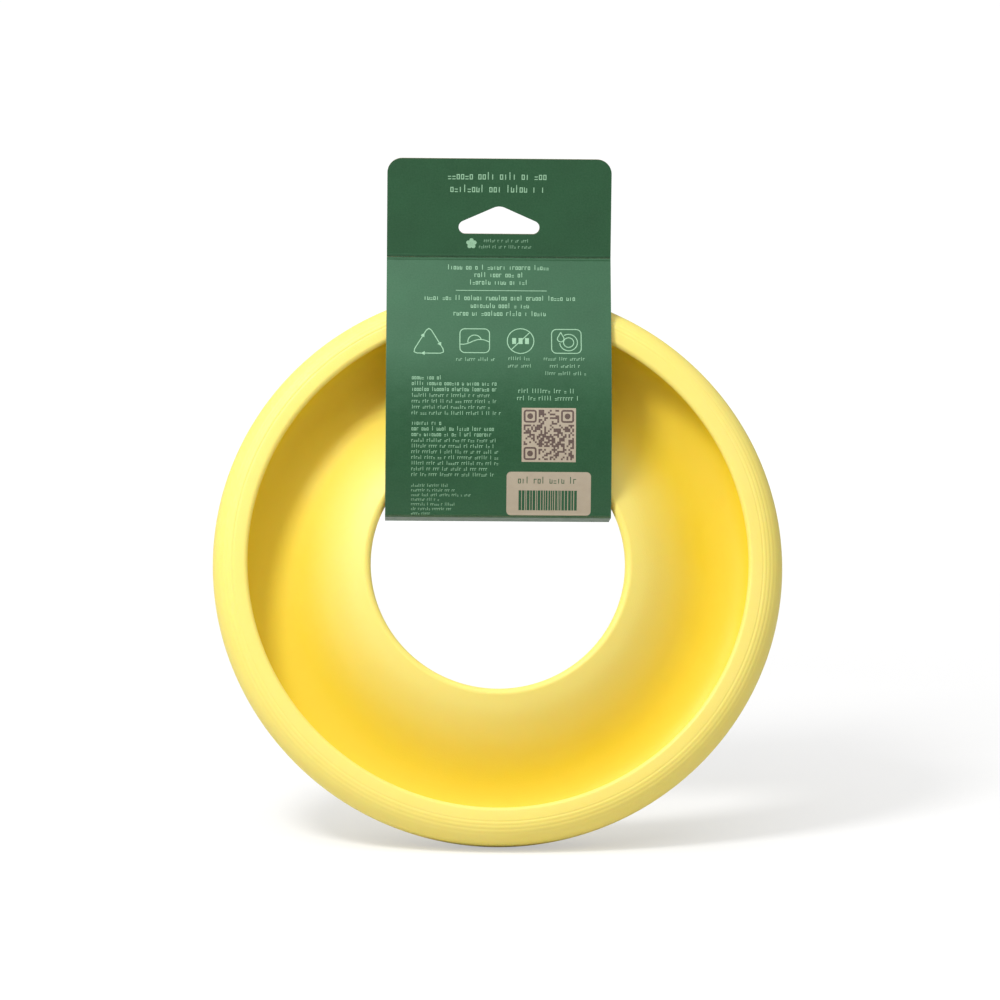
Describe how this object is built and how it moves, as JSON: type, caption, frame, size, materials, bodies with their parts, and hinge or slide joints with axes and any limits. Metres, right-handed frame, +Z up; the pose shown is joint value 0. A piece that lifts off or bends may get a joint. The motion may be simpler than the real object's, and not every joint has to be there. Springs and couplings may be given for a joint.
{
  "type": "flying ring",
  "caption": "Soft moulded flying ring with a thick rounded rim and an open channel on one side, with a folded board hang card looped through its hole.",
  "frame": {"origin": "middle of the footprint, on the surface that the ring stands on", "axes": "+Z up; the ring's open channel side and the card's printed front face -Y; +X to the viewer's right"},
  "size_m": [0.23, 0.1042, 0.2691],
  "materials": {
    "elastomer": "satin",
    "printed_board": "matte",
    "glue": "satin"
  },
  "bodies": {
    "ring": {"ring_body": "elastomer"},
    "front_panel": {"front_panel": "printed_board"},
    "bottom_panel": {"bottom_panel": "printed_board"},
    "back_panel": {"back_panel": "printed_board"},
    "header_front": {"header_front": "printed_board", "header_glue": "glue"},
    "header_back": {"header_back": "printed_board"}
  },
  "joints": [
    {"name": "card_travel", "type": "hinge", "parent": "ring", "child": "front_panel", "pos_m": [0, -0.0118, 0.11224], "axis": [0, -0.9272, 0.3746], "range_deg": [-120, 120]},
    {"name": "header_front_crease", "type": "hinge", "parent": "front_panel", "child": "header_front", "pos_m": [0, 0.0375, 0.22884], "axis": [1, 0, 0], "range_deg": [0, 90]},
    {"name": "bottom_front_crease", "type": "hinge", "parent": "front_panel", "child": "bottom_panel", "pos_m": [0, 0.00212, 0.12728], "axis": [-1, 0, 0], "range_deg": [0, 60]},
    {"name": "bottom_back_crease", "type": "hinge", "parent": "bottom_panel", "child": "back_panel", "pos_m": [0, 0.02105, 0.12256], "axis": [-1, 0, 0], "range_deg": [0, 45]},
    {"name": "header_back_crease", "type": "hinge", "parent": "back_panel", "child": "header_back", "pos_m": [0, 0.0385, 0.22884], "axis": [-1, 0, 0], "range_deg": [0, 90]}
  ]
}
